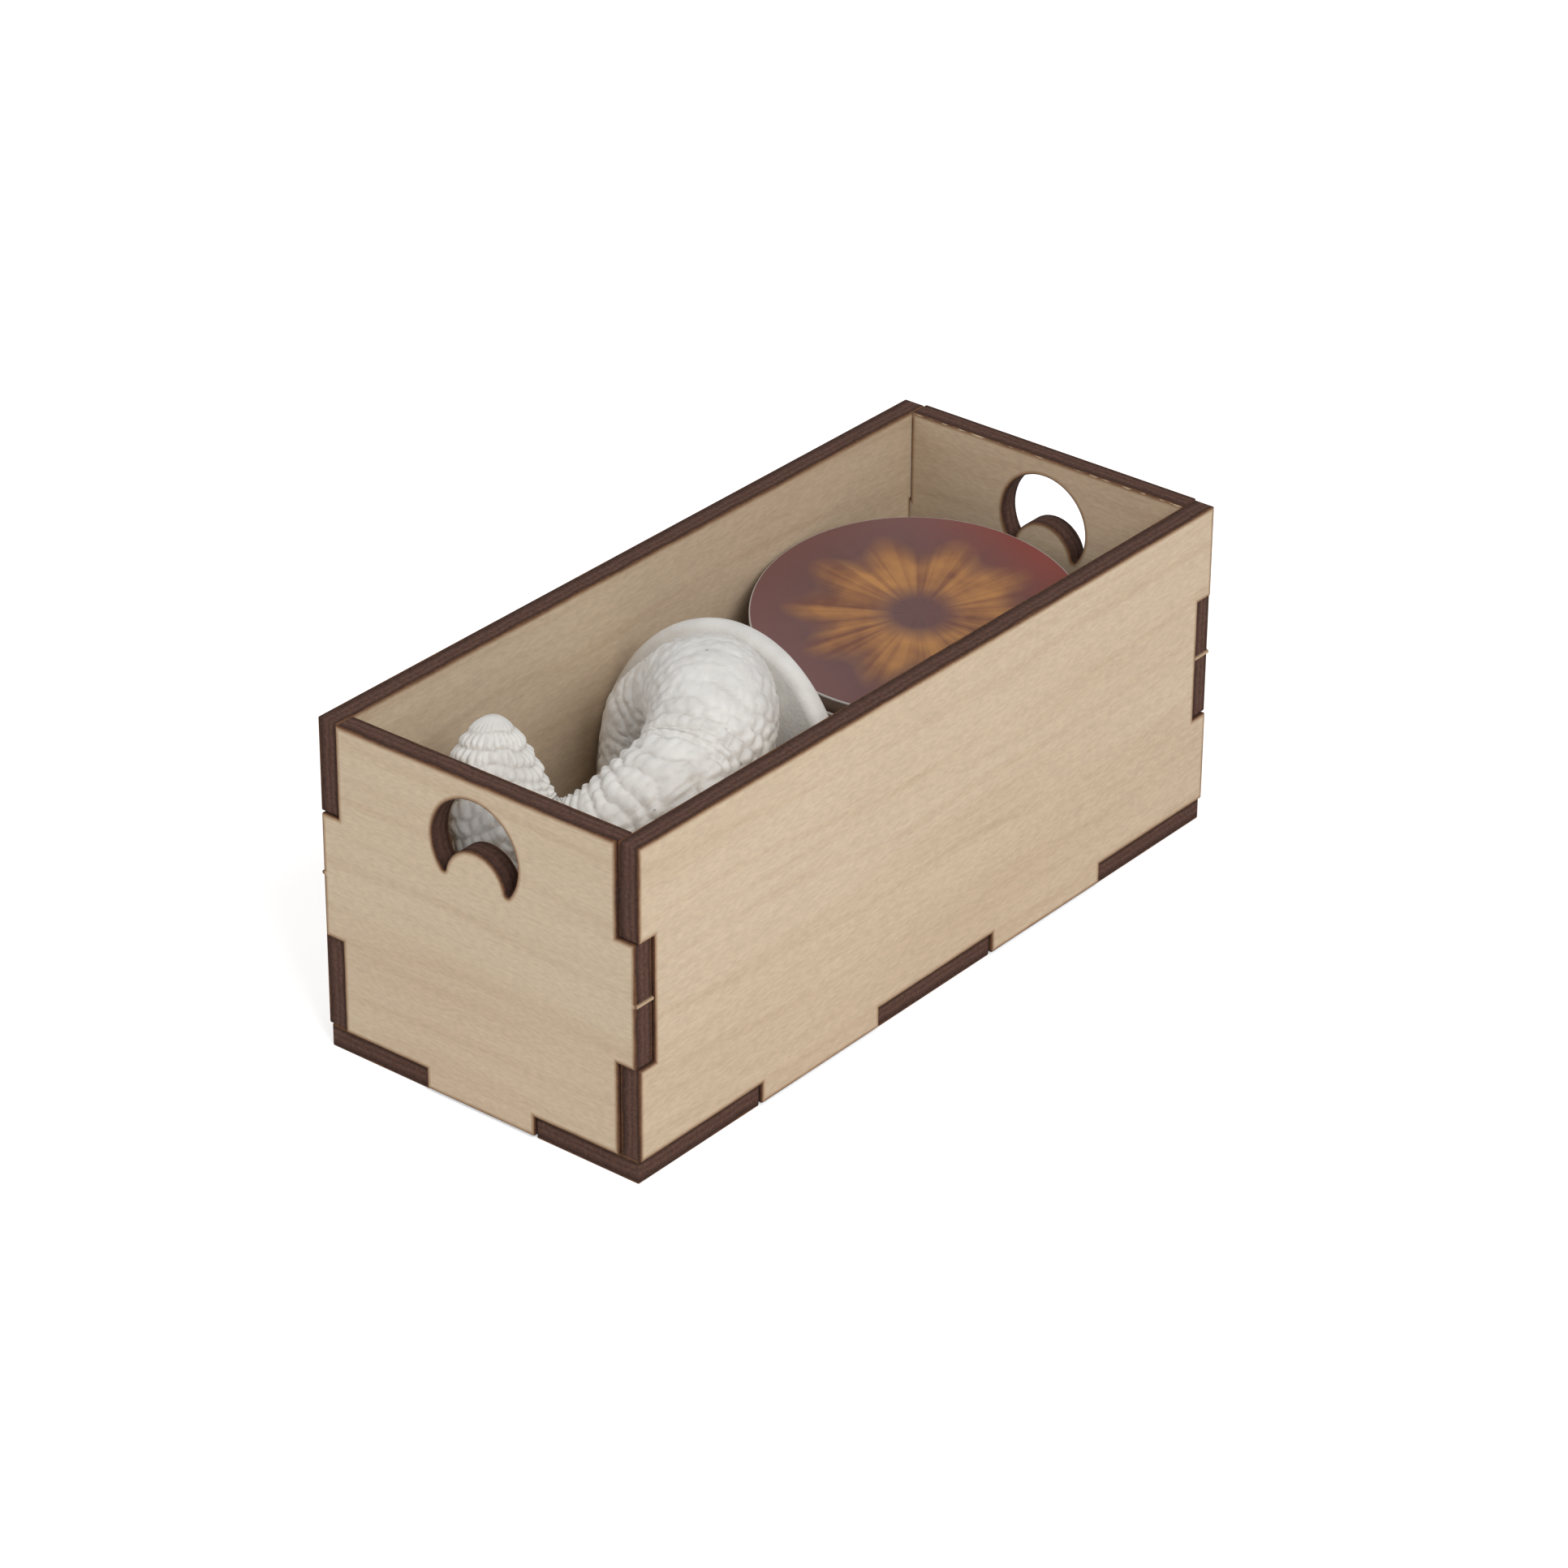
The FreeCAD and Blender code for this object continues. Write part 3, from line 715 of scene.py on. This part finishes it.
def skinned_tube(line, length, radius_at, strength_at):
    """A closed tube with skin along a line of points, cut flat at the base's face."""
    shape = bmesh.new()
    groove_layer = shape.verts.layers.float.new("groove")
    side = Vector((0, 0, 1))
    last_ring = None
    for index, middle in enumerate(line):
        before = line[max(0, index - 1)]
        after = line[min(len(line) - 1, index + 1)]
        heading = (after - before).normalized()
        side = (side - heading * side.dot(heading)).normalized()
        axes = Matrix((side, heading.cross(side), heading)).transposed()
        along = length * index / (len(line) - 1)
        radius = radius_at(along)
        fade = smooth_step(length - along, 0.0, TIP_FADE)
        made = bmesh.ops.create_circle(shape, segments=RING_POINTS, radius=radius, cap_ends=False)
        for vert in made["verts"]:
            angle = math.atan2(vert.co.y, vert.co.x)
            outward = (axes @ vert.co).normalized()
            spot = middle + outward * radius
            height, groove = skin_height(along, angle, spot, outward, strength_at(along))
            skinned = max(0.2 * radius, radius + height * fade - SKIN_SINK)
            vert[groove_layer] = groove
            vert.co = middle + axes @ (vert.co * skinned / radius)
        ring = list({edge for vert in made["verts"] for edge in vert.link_edges})
        if last_ring:
            bmesh.ops.bridge_loops(shape, edges=last_ring + ring)
        else:
            bmesh.ops.edgeloop_fill(shape, edges=ring)
        last_ring = ring
    bmesh.ops.edgeloop_fill(shape, edges=last_ring)
    everything = list(shape.verts) + list(shape.edges) + list(shape.faces)
    cut = bmesh.ops.bisect_plane(
        shape, geom=everything, plane_co=(0, 0, 0), plane_no=(0, 0, 1), clear_inner=True)
    rim_edges = [item for item in cut["geom_cut"] if isinstance(item, bmesh.types.BMEdge)]
    bmesh.ops.edgeloop_fill(shape, edges=rim_edges)
    bmesh.ops.recalc_face_normals(shape, faces=shape.faces)
    for face in shape.faces:
        face.smooth = True
    return shape


# %% [markdown]
# The first turn of the tentacle lies against the base as a short roll with round ends, which bends into the
# crown. It is made in the same way as the trunk, on a line from pole to pole. The bend counts twice, which
# draws the spline close to it. The roll is then joined to the trunk's mesh.

# %% Tentacle
roll_low, roll_bend, roll_high = [Vector(spot) * MM for spot in ROLL_ROUTE_MM]
roll_start = roll_low + (roll_low - roll_bend).normalized() * ROLL_RADIUS
roll_end = roll_high + (roll_high - roll_bend).normalized() * ROLL_RADIUS
roll_route = [roll_start, roll_low, roll_bend, roll_bend, roll_high, roll_end]
roll_line, roll_length = spread_evenly(spline_points(roll_route), ROLL_RINGS)


def roll_radius(along):
    """An even roll with half a ball at each end."""
    into_end = max(0.0, ROLL_RADIUS - along, along - roll_length + ROLL_RADIUS)
    return max(0.5 * MM, math.sqrt(max(0.0, ROLL_RADIUS ** 2 - into_end ** 2)))


def roll_strength(along):
    """Ribs of even, moderate strength, wherever the point lies along the roll."""
    return ROLL_STRENGTH


tentacle_shape = skinned_tube(centre_line, tentacle_length, trunk_radius, trunk_strength)
roll_shape = skinned_tube(roll_line, roll_length, roll_radius, roll_strength)
roll_mesh = bpy.data.meshes.new("roll")
roll_shape.to_mesh(roll_mesh)
roll_shape.free()
tentacle_shape.from_mesh(roll_mesh)
bpy.data.meshes.remove(roll_mesh)
bmesh.ops.transform(tentacle_shape, matrix=figure_place, verts=tentacle_shape.verts)
print("tentacle faces", len(tentacle_shape.faces))
finish_piece(
    "figure_tentacle_resin", tentacle_shape, [resin_material], "figure", ["figure_tentacle"])

# %% [markdown]
# The tokens are thin printed board. Their face is plum with a soft amber sun, a traditional pattern: a dark
# hub and a glowing ring of streaked, short blunt rays. The print lives on a UV map that is flat across the
# token, so that every token carries it wherever it lies. The cut edge shows the board: a pale line and a
# brown core.

# %% Token print
PLUM = (0.170, 0.075, 0.070)
PLUM_RED = (0.225, 0.050, 0.038)
BROWN = (0.085, 0.045, 0.040)
AMBER = (0.500, 0.230, 0.066)
AMBER_DEEP = (0.180, 0.062, 0.030)
SUN_RAYS = 10
SUN_REACH = 0.66
RAY_REACH = 0.08


def token_print():
    """The printed face of a token."""
    material, tree, shader = new_material("token_print", 0.42)
    coordinate = add_node(tree, "UVMap", uv_map="print")
    spot = coordinate.outputs["UV"]
    split = tree.nodes.new("ShaderNodeSeparateXYZ")
    tree.links.new(spot, split.inputs[0])
    square_x = add_math(tree, "MULTIPLY", split.outputs[0], split.outputs[0])
    square_y = add_math(tree, "MULTIPLY", split.outputs[1], split.outputs[1])
    radius = add_math(tree, "SQRT", add_math(tree, "ADD", square_x, square_y))
    angle = add_math(tree, "ARCTAN2", split.outputs[1], split.outputs[0])
    cloud = add_noise(tree, spot, 2.6, 3.0)
    wave = add_math(tree, "COSINE", add_math(tree, "MULTIPLY", angle, SUN_RAYS))
    edge = add_math(tree, "ADD", add_math(tree, "MULTIPLY", wave, RAY_REACH), SUN_REACH)
    glow = add_node(tree, "MapRange", {"From Min": -0.09, "From Max": 0.13}, clamp=True)
    tree.links.new(add_math(tree, "SUBTRACT", edge, radius), glow.inputs["Value"])
    hub = add_node(tree, "MapRange", {"From Min": 0.14, "From Max": 0.30}, clamp=True)
    tree.links.new(radius, hub.inputs["Value"])
    sun = add_math(tree, "MULTIPLY", glow.outputs["Result"], hub.outputs["Result"])
    direction = add_node(tree, "VectorMath", operation="NORMALIZE")
    tree.links.new(spot, direction.inputs[0])
    stroke = add_noise(tree, direction.outputs["Vector"], 7.0, 5.0)
    cloud_share = add_math(tree, "MULTIPLY", cloud, 0.55)
    stroke_share = add_math(tree, "MULTIPLY", stroke, 0.45)
    patchy = add_math(tree, "ADD", cloud_share, stroke_share)
    amber = add_ramp(tree, patchy, [(0.40, AMBER_DEEP), (0.60, AMBER)])
    side = add_math(tree, "ADD", split.outputs[0], split.outputs[1])
    red = add_node(tree, "MapRange", {"From Min": 0.0, "From Max": 1.1}, clamp=True)
    tree.links.new(side, red.inputs["Value"])
    rim = add_mix(tree, red.outputs["Result"], PLUM, PLUM_RED)
    middle = add_node(tree, "MapRange", {"From Min": 0.95, "From Max": 0.60}, clamp=True)
    tree.links.new(radius, middle.inputs["Value"])
    ground = add_mix(tree, add_math(tree, "MULTIPLY", middle.outputs["Result"], stroke), rim, BROWN)
    printed = add_mix(tree, add_math(tree, "MULTIPLY", sun, 0.92), ground, amber)
    tree.links.new(printed, shader.inputs["Base Color"])
    grit = add_noise(tree, spot, 220.0, 2.0)
    bump_from(tree, shader, grit, 0.05, 0.0001)
    return material


def token_edge():
    """The cut edge of a token: brown board with fine layers."""
    material, tree, shader = new_material("token_edge", 0.8)
    depth = add_node(tree, "Attribute", attribute_name="board_depth")
    coordinate = tree.nodes.new("ShaderNodeTexCoord")
    fibre = add_noise(tree, coordinate.outputs["Object"], 900.0, 3.0)
    layer = add_math(tree, "ADD", depth.outputs["Fac"], add_math(tree, "MULTIPLY", fibre, 0.10))
    board = add_ramp(tree, layer, [
        (0.00, (0.62, 0.58, 0.54)), (0.14, (0.16, 0.11, 0.085)), (0.50, (0.22, 0.15, 0.11)),
        (0.92, (0.16, 0.11, 0.085)), (0.99, (0.52, 0.49, 0.46))])
    tree.links.new(board, shader.inputs["Base Color"])
    return material


token_materials = [token_print(), token_edge()]

# %% [markdown]
# Each token is a thin plate with softened rims. Its place, tilt and size are read from the frame's own token.

# %% Tokens
TOKEN_RIM = 0.18 * MM
TOKEN_SEGMENTS = 128
TOKEN_RIM_SEGMENTS = 2


def token_piece(node, body):
    """One token: a thin round plate with softened rims, laid where the frame's token lies."""
    solid = merged_copy(node)
    caps = sorted(solid.faces, key=lambda face: face.calc_area())[-2:]
    low_cap = min(caps, key=lambda face: face.calc_center_median_weighted().z)
    high_cap = max(caps, key=lambda face: face.calc_center_median_weighted().z)
    up = high_cap.normal.copy()
    low = low_cap.calc_center_median_weighted()
    thickness = (high_cap.calc_center_median_weighted() - low).dot(up)
    radius = max((vert.co - low).dot(vert.co - low) for vert in low_cap.verts) ** 0.5
    solid.free()
    across = Vector((0, 1, 0)).cross(up).normalized()
    axes = Matrix((across, up.cross(across), up)).transposed().to_4x4()
    shape = plate(radius, thickness, TOKEN_RIM, TOKEN_SEGMENTS, TOKEN_RIM_SEGMENTS)
    depth = shape.verts.layers.float.new("board_depth")
    prints = shape.loops.layers.uv.new("print")
    for face in shape.faces:
        flat = abs(face.normal.z) > 0.95
        face.material_index = 0 if flat else 1
        face.smooth = not flat
        for loop in face.loops:
            loop[prints].uv = (loop.vert.co.x / radius, loop.vert.co.y / radius)
    for vert in shape.verts:
        vert[depth] = vert.co.z / thickness
    bmesh.ops.transform(shape, matrix=Matrix.Translation(low) @ axes, verts=shape.verts)
    finish_piece(node + "_print", shape, token_materials, body, [node])


bodies = frame["record"]["behaviour"]["bodies"]
for body in ("token_pile", "top_token"):
    for node in bodies[body]:
        token_piece(node, body)
print("tokens", sum(len(bodies[body]) for body in ("token_pile", "top_token")))
